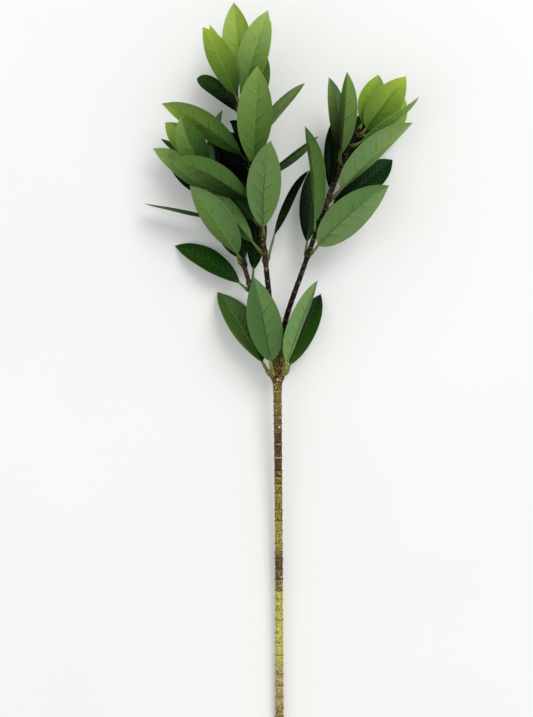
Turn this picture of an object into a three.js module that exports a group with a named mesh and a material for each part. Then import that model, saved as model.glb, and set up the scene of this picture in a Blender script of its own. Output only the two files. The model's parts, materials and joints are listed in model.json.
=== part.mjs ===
// A cut bay leaf branch lying on a flat surface, cut end towards -Y and leaf tips towards +Y.
// Millimetres, +Z up. The places below are measured from the fork, at the height of the surface;
// at the end the whole branch is moved so that its origin is the middle of its underside.
import * as THREE from "three";

// Driving dimensions
const CLEARANCE = 0.3;            // air between a stalk or twig and the wood it grows from
const STEM_RADIUS = 4.3;
const STEM_TOP_RADIUS = 3.6;      // below the crown
const STEM_CUT_END = [3.2, -432, 4.6];
const STEM_MIDDLE = [1.9, -150, 14];
const CROWN_TOP = [0.3, 12, 26];   // where the three twigs leave the stem
const CROWN_RADIUS = 8.2;
const CROWN_TOP_RADIUS = 9.6;
const CROWN_NECK_RADIUS = 4.9;
const CROWN_STEPS = [21, 14, 6, 0]; // below the top: end of the shaft, neck, bulge and top
const JOINT_SPACING = 33;         // between the rings modelled on the stem
const JOINT_RISE = 0.5;           // how far a ring stands out from the bark
const TWIG_RADIUS = 2.6;
const TWIG_TIP_RADIUS = 1.7;
const NODE_SPACING = 26;          // between the swollen nodes of a twig
const NODE_RISE = 0.55;
const NODE_HALF_LENGTH = 3;
const WOOD_SIDES = 8;
const BLADE_THICKNESS = 0.8;
const EDGE_THICKNESS = 0.3;
const BLADE_STATIONS = 9;         // cross-sections along a blade
const FOLD = 15;                  // degrees that each half of a blade turns away from flat
const STALK_RADIUS = 1.1;
const STALK_LENGTH = 8;

const up = new THREE.Vector3(0, 0, 1);
const radians = THREE.MathUtils.degToRad;
const vector = (point) => new THREE.Vector3(...point);

// A closed body lofted through rings of equal point counts, with a fan over each end.
function loft(rings, startPoint, endPoint) {
  const sides = rings[0].length;
  const points = [startPoint, ...rings.flat(), endPoint];
  const lastPoint = points.length - 1;
  const lastRing = rings.length - 1;
  const at = (ring, side) => 1 + ring * sides + (side % sides);
  const faces = [];
  for (let side = 0; side < sides; side++) {
    faces.push(0, at(0, side + 1), at(0, side));
    for (let ring = 0; ring < lastRing; ring++) {
      const [a, b] = [at(ring, side), at(ring, side + 1)];
      const [c, d] = [at(ring + 1, side), at(ring + 1, side + 1)];
      faces.push(a, b, d, a, d, c);
    }
    faces.push(lastPoint, at(lastRing, side), at(lastRing, side + 1));
  }
  const geometry = new THREE.BufferGeometry();
  const numbers = points.flatMap((point) => point.toArray());
  geometry.setAttribute("position", new THREE.Float32BufferAttribute(numbers, 3));
  geometry.setIndex(faces);
  return geometry;
}

// A round piece of wood along a curve; each station is a distance along it with a radius.
function wood(curve, stations) {
  const length = curve.getLength();
  const rings = stations.map(([distance, radius]) => {
    const along = curve.getTangentAt(distance / length);
    const right = new THREE.Vector3().crossVectors(along, up).normalize();
    const over = new THREE.Vector3().crossVectors(right, along);
    const centre = curve.getPointAt(distance / length);
    return Array.from({ length: WOOD_SIDES }, (_, side) => {
      const angle = (2 * Math.PI * (side + 0.5)) / WOOD_SIDES;
      return centre.clone()
        .addScaledVector(right, -radius * Math.cos(angle))
        .addScaledVector(over, radius * Math.sin(angle));
    });
  });
  return loft(rings, curve.getPointAt(0), curve.getPointAt(1));
}

// The main stem: a tapered shaft with raised joint rings that opens into the crown at its top.
function mainStem() {
  const curve = new THREE.CatmullRomCurve3([STEM_CUT_END, STEM_MIDDLE, CROWN_TOP].map(vector));
  const length = curve.getLength();
  const [shaftEnd, neck, bulge, top] = CROWN_STEPS.map((step) => length - step);
  const radiusAt = (distance) => (
    THREE.MathUtils.lerp(STEM_RADIUS, STEM_TOP_RADIUS, distance / shaftEnd)
  );
  const plain = (distance) => [distance, radiusAt(distance)];
  const stations = [plain(0)];
  for (let joint = JOINT_SPACING; joint < shaftEnd - 2; joint += JOINT_SPACING) {
    stations.push(plain(joint - 3), [joint, radiusAt(joint) + JOINT_RISE], plain(joint + 0.6));
  }
  stations.push(plain(shaftEnd), [neck, CROWN_NECK_RADIUS]);
  stations.push([bulge, CROWN_RADIUS], [top, CROWN_TOP_RADIUS]);
  return wood(curve, stations);
}

// A twig: it thins towards its tip and swells at each node.
function twig(curve) {
  const length = curve.getLength();
  const radiusAt = (distance) => (
    THREE.MathUtils.lerp(TWIG_RADIUS, TWIG_TIP_RADIUS, distance / length)
  );
  const plain = (distance) => [distance, radiusAt(distance)];
  const stations = [plain(0)];
  for (let node = NODE_SPACING; node < length - 8; node += NODE_SPACING) {
    stations.push(plain(node - NODE_SPACING / 2), plain(node - NODE_HALF_LENGTH));
    stations.push([node, radiusAt(node) + NODE_RISE], plain(node + NODE_HALF_LENGTH));
  }
  stations.push(plain(length));
  return wood(curve, stations);
}

// Half the width of a blade, as a share of its widest, at t from 0 at the base to 1 at the tip.
function bladeOutline(t) {
  const rise = 0.8;
  const fall = 0.84;
  const widest = rise / (rise + fall);
  return (t / widest) ** rise * ((1 - t) / (1 - widest)) ** fall;
}

// Where a stalk leaves a twig: a distance up the twig, on the side that looks towards the leaf.
function besideTwig(curve, { at, mid }) {
  const station = at / curve.getLength();
  const centre = curve.getPointAt(station);
  const away = vector(mid).sub(centre).projectOnPlane(curve.getTangentAt(station)).normalize();
  return centre.addScaledVector(away, TWIG_RADIUS + NODE_RISE + CLEARANCE);
}

// A leaf: a round stalk that starts beside its twig and spreads into a thin blade, folded along
// its midrib. roll turns the blade about its length, right edge down, seen from base to tip.
// face says which side looks up: "upper" is the glossy one, "under" the pale one with the rib.
function leaf(start, { mid, tip, width, face, roll = 0, fold = FOLD, stalk = STALK_LENGTH }) {
  const end = vector(tip);
  const ends = start.clone().add(end);
  const bend = vector(mid).multiplyScalar(2).addScaledVector(ends, -0.5);
  const rib = new THREE.QuadraticBezierCurve3(start, bend, end);
  const opening = face === "upper" ? 1 : -1;

  const ring = (t, halfWidth, halfThickness, halfEdge, foldAngle) => {
    const forward = rib.getTangentAt(t);
    const level = new THREE.Vector3().crossVectors(forward, up).normalize();
    const right = level.applyAxisAngle(forward, radians(roll));
    const over = new THREE.Vector3().crossVectors(right, forward);
    const reach = halfWidth * Math.cos(radians(foldAngle));
    const rise = opening * halfWidth * Math.sin(radians(foldAngle));
    const middle = rib.getPointAt(t);
    const place = (x, z) => middle.clone().addScaledVector(right, x).addScaledVector(over, z);
    return [
      place(-reach, rise + halfEdge), place(0, halfThickness), place(reach, rise + halfEdge),
      place(reach, rise - halfEdge), place(0, -halfThickness), place(-reach, rise - halfEdge),
    ];
  };

  const blade = stalk / rib.getLength();
  const stalkRings = [0, blade / 2, blade].map((t) => (
    ring(t, STALK_RADIUS, STALK_RADIUS, STALK_RADIUS / 2, 0)
  ));
  const bladeRings = Array.from({ length: BLADE_STATIONS }, (_, index) => {
    const t = (index + 0.7) / (BLADE_STATIONS + 0.2);
    const halfWidth = Math.max(STALK_RADIUS, (width / 2) * bladeOutline(t));
    const along = THREE.MathUtils.lerp(blade, 1, t);
    return ring(along, halfWidth, BLADE_THICKNESS / 2, EDGE_THICKNESS / 2, fold);
  });
  return loft([...stalkRings, ...bladeRings], start, end);
}

// The lines that the three twigs follow, from the crown to their tips.
const twigLines = {
  left: [
    [-3.4, 12.8, 22.8], [-6, 27, 23.4], [-16, 47, 24], [-26, 88, 23], [-38, 128, 24],
    [-44, 149, 26], [-50, 171, 29], [-57, 191, 32], [-66, 210, 36], [-74, 227, 39],
  ],
  middle: [
    [-1, 12.5, 28.8], [-1.8, 26, 30.5], [-8.2, 87, 36], [-12, 115, 40], [-15, 152, 43],
    [-20, 179, 45], [-26, 213, 47], [-31, 244, 48], [-35, 268, 49], [-38, 289, 50],
  ],
  right: [
    [6.2, 12.7, 25], [4.8, 32, 27.5], [9.8, 65, 30], [20.5, 94, 32], [29, 120, 34], [38, 145, 36],
    [50, 177, 38], [60, 202, 40], [65, 218, 41], [71, 233, 42], [80, 247, 44], [87, 258, 46],
  ],
};

// The leaves of each twig in the order they grow: at is the distance up the twig where the
// stalk leaves it, or start a point beside the crown; mid is the middle of the midrib and tip
// its end.
const leafRows = {
  fork: [
    { start: [-5.4, 7.6, 34.4], mid: [-15, 61, 62], tip: [-24, 103, 70], width: 38, face: "under",
      roll: -14, fold: 18, stalk: 12 },
    { start: [-9.6, 6.2, 24], mid: [-38.4, 55, 14], tip: [-64, 92, 4], width: 39, face: "upper",
      roll: 36, fold: 22, stalk: 12 },
    { start: [8.8, 8.5, 33.2], mid: [24.2, 58, 56], tip: [41, 100, 62], width: 33, face: "under",
      roll: 58, fold: 20 },
    { start: [11.4, 8, 22.5], mid: [29.9, 52, 16], tip: [47.5, 90, 3], width: 27.5, face: "upper",
      roll: -12, stalk: 6 },
  ],
  left: [
    { at: 85, mid: [-73, 125, 14], tip: [-110, 142, 1], width: 27, face: "upper", roll: 25, stalk: 12 },
    { at: 91, mid: [-23, 146, 20], tip: [-21, 192, 12], width: 24, face: "upper", roll: 20, stalk: 14 },
    { at: 111, mid: [-37, 153, 32], tip: [-40, 192, 24], width: 16, face: "upper", roll: 20 },
    { at: 114, mid: [-50.5, 143, 28], tip: [-64, 157, 26], width: 15, face: "upper", roll: -20 },
    { at: 119, mid: [-61, 158, 60], tip: [-89, 196, 64], width: 36, face: "under", roll: -35, fold: 20 },
    { at: 158, mid: [-89.1, 174, 32], tip: [-139.6, 184, 22], width: 22, face: "under", roll: 77 },
    { at: 180, mid: [-91, 214, 18], tip: [-117, 234, 8], width: 26, face: "upper", roll: -10 },
    { at: 184, mid: [-95.5, 218, 34.6], tip: [-130, 240, 35], width: 25.5, face: "under", roll: -20,
      fold: 20 },
    { at: 209, mid: [-87.4, 238.5, 58], tip: [-98.6, 266.5, 60], width: 31, face: "under" },
    { at: 213, mid: [-65, 232.5, 39], tip: [-68, 254, 36], width: 17, face: "under", roll: 25, stalk: 6 },
    { at: 216, mid: [-102, 240, 25], tip: [-123, 253, 21], width: 14, face: "under", roll: 40, stalk: 6 },
    { at: 226, mid: [-96, 247, 39], tip: [-117, 267, 36], width: 26, face: "under", stalk: 6 },
    { at: 218, mid: [-67, 255, 28], tip: [-57.3, 282.4, 27], width: 11, face: "under" },
  ],
  middle: [
    { at: 112, mid: [8.6, 180, 42], tip: [33, 216.4, 36], width: 20, face: "upper", roll: 64, stalk: 26 },
    { at: 120, mid: [-48, 167.5, 48], tip: [-77, 203, 39], width: 24, face: "under", roll: -10,
      fold: 25, stalk: 14 },
    { at: 138, mid: [-13.8, 194, 72], tip: [-7, 238, 82], width: 35.5, face: "under", fold: 12 },
    { at: 149, mid: [-42, 187, 37], tip: [-60, 214, 40], width: 30, face: "upper" },
    { at: 169, mid: [-68, 207, 60], tip: [-109, 222, 66], width: 34, face: "under", roll: -14, fold: 33 },
    { at: 184, mid: [-47, 215, 28], tip: [-69, 231, 18], width: 32, face: "upper" },
    { at: 194, mid: [8, 224, 42], tip: [43, 253, 34], width: 18, face: "upper", roll: 68 },
    { at: 201, mid: [-41, 234, 30], tip: [-65, 259, 16], width: 34, face: "upper" },
    { at: 207, mid: [-23, 265, 76], tip: [-20, 312, 84], width: 37, face: "under", stalk: 5 },
    { at: 217, mid: [-77, 260.5, 52], tip: [-119, 283, 50], width: 29.5, face: "under", roll: -30,
      fold: 25 },
    { at: 228, mid: [-0.3, 271.5, 56], tip: [28, 301, 62], width: 21, face: "under", roll: 62, fold: 18 },
    { at: 222, mid: [-38, 258, 37], tip: [-50, 268.5, 34], width: 15, face: "upper", stalk: 7 },
    { at: 254, mid: [-21.5, 316, 36], tip: [-18, 350, 32], width: 30, face: "upper" },
    { at: 261, mid: [-61.5, 302, 32], tip: [-85.4, 318.6, 12], width: 17.5, face: "upper", roll: -20 },
    { at: 262, mid: [-55.5, 323, 53], tip: [-69.3, 362.8, 55], width: 18, face: "under", roll: -20 },
    { at: 275, mid: [-57.3, 321, 68], tip: [-75, 354, 74], width: 31, face: "under", roll: -35 },
    { at: 273, mid: [-21, 324, 56], tip: [-6.6, 365, 60], width: 26, face: "under", roll: 35 },
    { at: 276, mid: [-25.8, 324.5, 72], tip: [-9.4, 368.8, 80], width: 30, face: "under", roll: 15 },
    { at: 278, mid: [-41, 341, 46], tip: [-45, 391, 40], width: 32, face: "under", stalk: 16 },
  ],
  right: [
    { at: 120, mid: [36, 182, 24], tip: [40, 228, 12], width: 25, face: "upper", roll: -10, stalk: 14 },
    { at: 123, mid: [75, 169.3, 56], tip: [114, 197, 60], width: 37.6, face: "under", fold: 12, stalk: 12 },
    { at: 148, mid: [37.6, 206, 60], tip: [28, 256, 66], width: 29.5, face: "under", roll: -58, fold: 25 },
    { at: 172, mid: [90.5, 206, 22], tip: [125, 235, 1], width: 31.5, face: "upper" },
    { at: 182, mid: [96.6, 226, 62], tip: [138, 261, 60], width: 37, face: "under", roll: 50,
      fold: 30, stalk: 17 },
    { at: 186, mid: [61, 233, 30], tip: [61, 276, 18], width: 25, face: "upper" },
    { at: 223, mid: [63.2, 272, 44], tip: [53.5, 312, 44], width: 20, face: "under", roll: -5, fold: 20 },
    { at: 222, mid: [67.7, 272, 68], tip: [70, 309, 74], width: 29, face: "under", roll: -29, fold: 48 },
    { at: 244, mid: [123, 266, 60], tip: [144, 287, 62], width: 18, face: "under", roll: 70 },
    { at: 256, mid: [117, 266, 30], tip: [134, 294, 30], width: 28, face: "under", roll: 10 },
    { at: 258, mid: [110.8, 282, 52], tip: [132, 309.5, 56], width: 34, face: "under", roll: 5 },
    { at: 261, mid: [96.5, 284, 40], tip: [105.3, 315.3, 42], width: 28, face: "under" },
    { at: 216, mid: [86, 258, 31], tip: [102, 286, 16], width: 23, face: "upper" },
  ],
};

const colours = { stem: 0x7d7438, twig: 0x3c2e22, upper: 0x1e3a16, under: 0x6d9352 };

function piece(name, geometry, colour) {
  const material = new THREE.MeshStandardMaterial({ color: colour, roughness: 0.6, metalness: 0 });
  const mesh = new THREE.Mesh(geometry, material);
  mesh.name = name;
  return mesh;
}

const branch = new THREE.Group();
branch.add(piece("main_stem", mainStem(), colours.stem));
const twigCurves = {};
for (const [side, line] of Object.entries(twigLines)) {
  twigCurves[side] = new THREE.CatmullRomCurve3(line.map(vector));
  branch.add(piece(`${side}_twig`, twig(twigCurves[side]), colours.twig));
}
for (const [group, rows] of Object.entries(leafRows)) {
  const stub = group === "fork" ? "fork_leaf" : `${group}_twig_leaf`;
  rows.forEach((row, index) => {
    const start = row.start ? vector(row.start) : besideTwig(twigCurves[group], row);
    const geometry = leaf(start, row);
    branch.add(piece(`${stub}_${index + 1}`, geometry, colours[row.face]));
  });
}

const bounds = new THREE.Box3().setFromObject(branch);
const centre = bounds.getCenter(new THREE.Vector3());
branch.position.set(-centre.x, -centre.y, -bounds.min.z);

export default branch;
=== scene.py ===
import json
from itertools import combinations
from math import tau
from types import SimpleNamespace

import bmesh
import bpy
import numpy as np
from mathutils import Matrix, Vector, noise
from numpy.linalg import norm


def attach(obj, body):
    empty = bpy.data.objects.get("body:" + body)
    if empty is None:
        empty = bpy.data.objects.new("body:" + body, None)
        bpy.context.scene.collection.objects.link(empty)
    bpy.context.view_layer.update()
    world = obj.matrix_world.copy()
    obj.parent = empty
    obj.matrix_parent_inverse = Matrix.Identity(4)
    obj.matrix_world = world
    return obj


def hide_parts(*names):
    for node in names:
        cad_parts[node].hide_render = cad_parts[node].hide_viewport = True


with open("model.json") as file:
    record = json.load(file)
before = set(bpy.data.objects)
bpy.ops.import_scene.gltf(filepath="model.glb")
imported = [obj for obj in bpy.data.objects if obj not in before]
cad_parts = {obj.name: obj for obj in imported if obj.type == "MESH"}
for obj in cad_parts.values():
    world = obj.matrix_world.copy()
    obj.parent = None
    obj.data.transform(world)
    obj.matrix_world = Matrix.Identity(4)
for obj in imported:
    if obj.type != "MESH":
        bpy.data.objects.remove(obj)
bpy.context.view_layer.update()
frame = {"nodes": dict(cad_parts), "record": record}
bpy.ops.object.select_all(action="DESELECT")

# ---- The main stem -------------------
# A slender woody shoot. It grew in short lengths, each one narrow at its foot and flared into a
# pale rim at its top, and it swells into a crown where the twigs fork. Its lower end is cut.

STEM_SIDES = 40
# How thick the stem is: distance from the cut end and radius, in millimetres
STEM_TAPER = ((0, 4.0), (40, 4.4), (190, 4.2), (330, 4.2), (372, 4.3), (396, 4.4), (415, 4.5),
              (425, 4.7))
# The tones of bark on the whole branch, from the oldest to the youngest wood. The darkest, on
# the twigs deep among the leaves, are partly painted shade
BARK_TONES = {
    "dark_bark_and_shade": (18, 15, 10), "peat": (32, 26, 18), "sepia": (54, 46, 30), "dun": (80, 70, 36),
    "umber": (84, 66, 42), "brown": (108, 88, 56), "moss": (112, 101, 50),
    "olive": (130, 117, 52), "tan": (130, 112, 70), "fawn": (146, 128, 76),
    "straw": (155, 140, 70), "buff": (167, 151, 96), "lime": (177, 174, 88),
}
# Lengths between joints, from the crown down: millimetres, tone, mottling, paleness of the rim
STEM_LENGTHS = (
    (11.9, "moss", 0.45, 0.9), (4.2, "olive", 0.45, 0.5), (9.9, "moss", 0.5, 0.4),
    (8.5, "brown", 0.55, 0.2), (8.5, "brown", 0.5, 0.3), (12.7, "umber", 0.45, 0.5),
    (14.2, "umber", 0.4, 0.8), (15.2, "umber", 0.35, 1), (7.2, "umber", 0.5, 0.6),
    (7.5, "moss", 0.5, 1), (10.0, "olive", 0.55, 0.8), (17.9, "olive", 0.4, 0.9),
    (11.5, "olive", 0.55, 0.5), (11.0, "straw", 0.35, 0.6), (13.2, "straw", 0.4, 0.8),
    (9.3, "straw", 0.5, 0.6), (7.2, "brown", 0.5, 0.5), (11.4, "umber", 0.45, 0.3),
    (10.7, "brown", 0.5, 0.3), (12.2, "tan", 0.45, 0.4), (9.2, "lime", 0.3, 0.6),
    (12.0, "lime", 0.3, 0.5), (10.2, "lime", 0.28, 0.5), (14.3, "lime", 0.24, 0.4),
    (10.1, "lime", 0.24, 0.4), (13.8, "lime", 0.24, 0.5), (10.8, "lime", 0.3, 0.7),
    (9.9, "buff", 0.4, 0.8), (11.9, "buff", 0.35, 0.7), (13.0, "buff", 0.35, 0.8),
    (11.1, "buff", 0.45, 0.6), (10.3, "fawn", 0.5, 0.5), (11.4, "fawn", 0.4, 0.6),
    (12.5, "straw", 0.35, 0.7), (11.4, "fawn", 0.4, 0.6), (14.1, "tan", 0.45, 0.6),
    (19.2, "tan", 0.45, 0.5),
)
# The crown above the last joint, in millimetres: height, half its width and half its depth
CROWN_SHAPE = (
    (0.4, 4.6, 4.4), (2.0, 4.7, 4.5), (3.6, 4.7, 4.5), (5.0, 4.8, 4.5), (6.4, 4.9, 4.5),
    (7.8, 5.1, 4.5), (9.2, 5.5, 4.5), (10.6, 6.1, 4.5), (12.0, 6.8, 4.5), (13.4, 7.6, 4.3),
    (14.6, 8.2, 4.0), (15.6, 8.4, 3.6), (16.4, 8.1, 3.0), (17.0, 6.8, 2.3), (17.4, 4.8, 1.5),
    (17.6, 2.0, 0.7),
)
CROWN_FOOT = 0.0064        # the crown's clefts begin this far above the last joint
# Clefts between the parts that are fused in the crown: degrees from its top, and depth
CROWN_CLEFTS = ((-38, 0.16), (13, 0.30), (58, 0.16), (110, 0.2), (180, 0.25), (-105, 0.2))
CROWN_TONES = ((0.0068, "moss"), (0.0130, "umber"), (0.0300, "moss"))
# One length between two joints: height above its foot, or below its top where it is negative,
# then its width, how much of it is the pale rim and how much is the dark crease
JOINT_PROFILE = (
    (0.0, 0.90, 0, 1.0), (0.0004, 0.92, 0, 0.7), (0.0010, 0.935, 0, 0.1), (-0.0034, 0.985, 0, 0),
    (-0.0018, 1.01, 0, 0), (-0.0012, 1.05, 0.4, 0), (-0.0006, 1.11, 1, 0), (-0.0001, 1.09, 1, 0.2),
)
FULL_LENGTH = 0.007    # a length shorter than this has its whole profile pressed together
ROW_SPACING = 0.0011
BARK_SEED = 7
BARK_RELIEF = 0.00026      # how far the lumps of the bark stand out
STEM_GRAIN, TWIG_GRAIN = 0.004, 0.0024     # the radius at which their lumps are laid out
BRIGHT_BARK = (1.9, 1.8, 1.9, 1)
PALE_RIM = (214, 204, 118)
JOINT_TILT = 0.0006        # how far the joints dip and lean along the stem
CLEFT_SPREAD = 13          # degrees from the middle of a cleft to its side
CLEFT_RISE = 0.006         # the clefts reach their whole depth over this height
BARK_RING, WOOD_RING, PITH_RING = 0.0006, 0.0021, 0.0003
WOOD_STEP, PITH_STEP = -0.0003, 0.0002     # how far the wood stands out and the pith lies in
# Pale corky flecks: millimetres below the crown's top, degrees from the stem's top, and size
CORK_FLECKS = (
    (13.3, 4, 1.0), (14.2, 34, 0.6), (18.6, -38, 0.6), (46.2, -22, 0.7), (54.0, 34, 0.8),
    (54.5, -20, 0.4), (64.0, 18, 0.9), (95.0, 40, 0.4), (114.0, 20, 0.5), (191.0, -60, 0.6),
    (225.0, 38, 0.8), (324.0, -52, 0.7), (130.0, 150, 0.7), (70.0, -140, 0.8), (260.0, 190, 0.6),
)


def linear(red, green, blue):
    """A colour given as three numbers up to 255, as the shader wants it."""
    shares = np.array([red, green, blue]) / 255
    return (*np.where(shares > 0.04045, ((shares + 0.055) / 1.055) ** 2.4, shares / 12.92), 1.0)


def unit(vectors):
    return vectors / norm(vectors, axis=-1, keepdims=True)


def ramp(values):
    return np.clip(values, 0, 1)


def rings_of(node):
    """The rings of points that a CAD node was lofted through, from its lower end to its upper,
    with the point that closes each end."""
    shell = bmesh.new()
    shell.from_mesh(frame["nodes"][node].data)
    bmesh.ops.remove_doubles(shell, verts=shell.verts, dist=1e-5)

    def layers_from(end):
        layers = [[end]]
        met = {end}
        while layers[-1]:
            near = [edge.other_vert(vert) for vert in layers[-1] for edge in vert.link_edges]
            layers.append([vert for vert in dict.fromkeys(near) if vert not in met])
            met.update(layers[-1])
        return layers[:-1]

    def is_loft(layers):
        return len({len(layer) for layer in layers[1:-1]}) == 1 and len(layers[-1]) == 1

    lofts = filter(is_loft, map(layers_from, shell.verts))
    lowest = min(lofts, key=lambda layers: layers[0][0].co.y)
    rings = [np.array([vert.co for vert in layer]) for layer in lowest]
    shell.free()
    return rings


def bent(start, handle, end, share):
    """Points of a bend between two ends, pulled towards a handle, at shares of the way."""
    return (1 - share) ** 2 * start + 2 * share * (1 - share) * handle + share ** 2 * end


def distances_along(points):
    steps = norm(np.diff(points, axis=0), axis=1)
    return np.hstack([[0], np.cumsum(steps)])


def smooth(distances, values, degree):
    """A smooth function of distance that follows the values measured at these distances."""
    scale = distances[-1]
    fitted = np.polyfit(distances / scale, values, degree)
    return lambda at: np.stack([np.polyval(part, at / scale) for part in fitted.T], axis=-1)


def wood_line(node, degree):
    """The line and the radius of a CAD piece of wood, as functions of the distance along it."""
    rings = rings_of(node)[1:-1]
    middles = np.array([ring.mean(axis=0) for ring in rings])
    distances = distances_along(middles)
    radii = [norm(ring - middle, axis=1).mean() for ring, middle in zip(rings, middles)]
    return smooth(distances, middles, degree), distances, np.array(radii)


def jointed_rows(lengths, swell=1.0):
    """Where the rows of a jointed shoot lie, with their width, rim, crease and length number."""
    rows = []
    foot = 0.0
    for number, length in enumerate(lengths):
        squeeze = min(1.0, length / FULL_LENGTH)
        places = [height * squeeze + (length if height < 0 else 0) for height, *_ in JOINT_PROFILE]
        looks = np.array([look for _, *look in JOINT_PROFILE])
        filled = int((places[3] - places[2]) / ROW_SPACING)
        between = np.linspace(places[2], places[3], filled + 2)[1:-1] if filled > 0 else []
        for place in sorted([*places, *between]):
            look = [np.interp(place, places, looks[:, column]) for column in range(3)]
            rows.append((foot + place, 1 + (look[0] - 1) * swell, look[1], look[2], number))
        foot += length
    return np.array(rows)


def bark_relief(distances, sides, radius, seed):
    """How far lumps, ridges and grain of bark stand out, on rows of points round a shoot."""
    relief = np.empty((len(distances), sides))
    for row, distance in enumerate(distances):
        for side in range(sides):
            angle = tau * side / sides
            place = Vector((radius * np.cos(angle), radius * np.sin(angle), distance)) * 1000
            place.z += seed * 31.7
            lumps = noise.noise(Vector((place.x * 0.28, place.y * 0.28, place.z * 0.16)))
            ridges = noise.noise(Vector((place.x * 0.9, place.y * 0.9, place.z * 0.2)))
            grain = noise.noise(place * 0.9)
            relief[row, side] = (0.45 * lumps + 0.35 * ridges + 0.45 * grain) * BARK_RELIEF
    return relief


def tilts(row_numbers, sides, seed, dip, lean):
    """How far each joint is tipped along the shoot, at each side: it dips on top, and leans."""
    draw = np.random.default_rng(seed).uniform
    count = int(row_numbers.max()) + 2
    angles = tau * np.arange(sides) / sides
    leans = draw(0.2, 1, (count, 1)) * lean
    phases = draw(0, tau, (count, 1))
    dips = draw(0.4, 1.2, (count, 1)) * dip
    at_joints = leans * np.cos(angles - phases) + dips * np.cos(angles)
    return at_joints[row_numbers.astype(int)]


def paint(piece, name, values):
    """Keeps numbers or colours for the vertices, under a name that a material can read."""
    values = np.asarray(values, np.float32)
    if values.ndim == 0:
        values = np.full(len(piece.data.vertices), values)
    coloured = values.ndim > 1 and values.shape[-1] == 4
    kind, field = ("FLOAT_COLOR", "color") if coloured else ("FLOAT", "value")
    attribute = piece.data.attributes.new(name, kind, "POINT")
    attribute.data.foreach_set(field, values.ravel())


def painted(piece, name):
    values = np.empty(len(piece.data.vertices), np.float32)
    piece.data.attributes[name].data.foreach_get("value", values)
    return values


def rolled_tube(name, centres, radii, slide=0.0, **values):
    """A closed tube: a grid rolled round a line of centres, its seam underneath. radii has a
    row for each centre and a column for each side, slide moves points along the line, and the
    values, one for each centre, are painted on."""
    rows, sides = radii.shape
    bpy.ops.mesh.primitive_grid_add(x_subdivisions=sides, y_subdivisions=rows - 1)
    tube = bpy.context.object
    tube.name = name
    along = unit(np.gradient(centres, axis=0))
    across = unit(np.cross(along, (0, 0, 1)))
    above = np.cross(across, along)
    angles = tau * np.arange(sides + 1) / sides
    outward = -np.sin(angles)[:, None] * across[:, None] - np.cos(angles)[:, None] * above[:, None]
    around = [*range(sides), 0]
    slides = np.broadcast_to(slide, (rows, sides))[:, around, None]
    points = centres[:, None] + outward * radii[:, around, None] + along[:, None] * slides
    tube.data.vertices.foreach_set("co", points.astype(np.float32).ravel())
    for key, column in values.items():
        paint(tube, key, np.repeat(column, sides + 1, axis=0))
    bpy.ops.object.mode_set(mode="EDIT")
    bpy.ops.mesh.select_all(action="SELECT")
    bpy.ops.mesh.remove_doubles(threshold=1e-7)
    bpy.ops.mesh.fill_holes(sides=0)
    bpy.ops.mesh.select_all(action="SELECT")
    bpy.ops.mesh.normals_make_consistent(inside=False)
    bpy.ops.mesh.select_all(action="DESELECT")
    bpy.ops.object.mode_set(mode="OBJECT")
    bpy.ops.object.shade_smooth_by_angle(angle=np.radians(60))
    return tube


# Shader helpers: most make one node, in the tree of the sockets given, and return its output
def feed(sockets, values):
    """Sets each socket to its value, or links it where the value is a socket itself."""
    for key, value in values.items():
        if isinstance(value, bpy.types.NodeSocket):
            value.id_data.links.new(value, sockets[key])
        else:
            sockets[key].default_value = value


def add_node(tree, kind, inputs=None, **settings):
    made = tree.nodes.new(f"ShaderNode{kind}")
    for name, value in settings.items():
        setattr(made, name, value)
    feed(made.inputs, inputs or {})
    return made


def tree_of(inputs):
    sockets = (value for value in inputs.values() if isinstance(value, bpy.types.NodeSocket))
    return next(sockets).id_data


def blend(share, first, second, how="MIX"):
    inputs = {0: share, 6: first, 7: second}
    made = add_node(tree_of(inputs), "Mix", inputs, data_type="RGBA", blend_type=how)
    return made.outputs[2]


def tinted(share, colour, tint):
    """A colour, multiplied by a tint or a shade where share is 1."""
    return blend(share, colour, tint, "MULTIPLY")


def calculate(how, first, second=0.0, third=0.0):
    inputs = {0: first, 1: second, 2: third}
    return add_node(tree_of(inputs), "Math", inputs, operation=how).outputs[0]


def times(first, second):
    return calculate("MULTIPLY", first, second)


def remap(value, low, high, from_low=0.0, from_high=1.0):
    """from_low where value is low, rising smoothly to from_high where it is high."""
    inputs = {0: value, 1: low, 2: high, 3: from_low, 4: from_high}
    made = add_node(tree_of(inputs), "MapRange", inputs, interpolation_type="SMOOTHSTEP")
    return made.outputs[0]


def kept(tree, name, output="Fac"):
    return add_node(tree, "Attribute", attribute_name=name).outputs[output]


def place_on(tree):
    return add_node(tree, "TexCoord").outputs["Object"]


def bumped(height, strength, distance):
    inputs = {"Height": height, "Strength": strength, "Distance": distance}
    return add_node(tree_of(inputs), "Bump", inputs).outputs[0]


def grainy(place, scale, detail=3.0, stretch=(1, 1, 1)):
    """Noise around 0.5 whose lumps are 1 / scale metres across, stretched along some axes."""
    tree = place.id_data
    mapped = add_node(tree, "Mapping", {"Vector": place, "Scale": stretch}).outputs[0]
    inputs = {"Vector": mapped, "Scale": scale, "Detail": detail}
    return add_node(tree, "TexNoise", inputs).outputs["Fac"]


def new_group(name, inputs, outputs):
    """An empty shader group with these sockets: its tree, what comes in and what goes out."""
    group = bpy.data.node_groups.new(name, "ShaderNodeTree")
    for way, sockets in (("INPUT", inputs), ("OUTPUT", outputs)):
        for socket, kind in sockets.items():
            group.interface.new_socket(socket, in_out=way, socket_type=f"NodeSocket{kind}")
    entry = group.nodes.new("NodeGroupInput")
    leaving = group.nodes.new("NodeGroupOutput")
    return group, entry.outputs, leaving.inputs


def new_material(name):
    """A material with its Principled shader: the node tree and the shader's inputs."""
    material = bpy.data.materials.new(name)
    material.use_nodes = True
    tree = material.node_tree
    return material, tree, tree.nodes["Principled BSDF"].inputs


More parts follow.
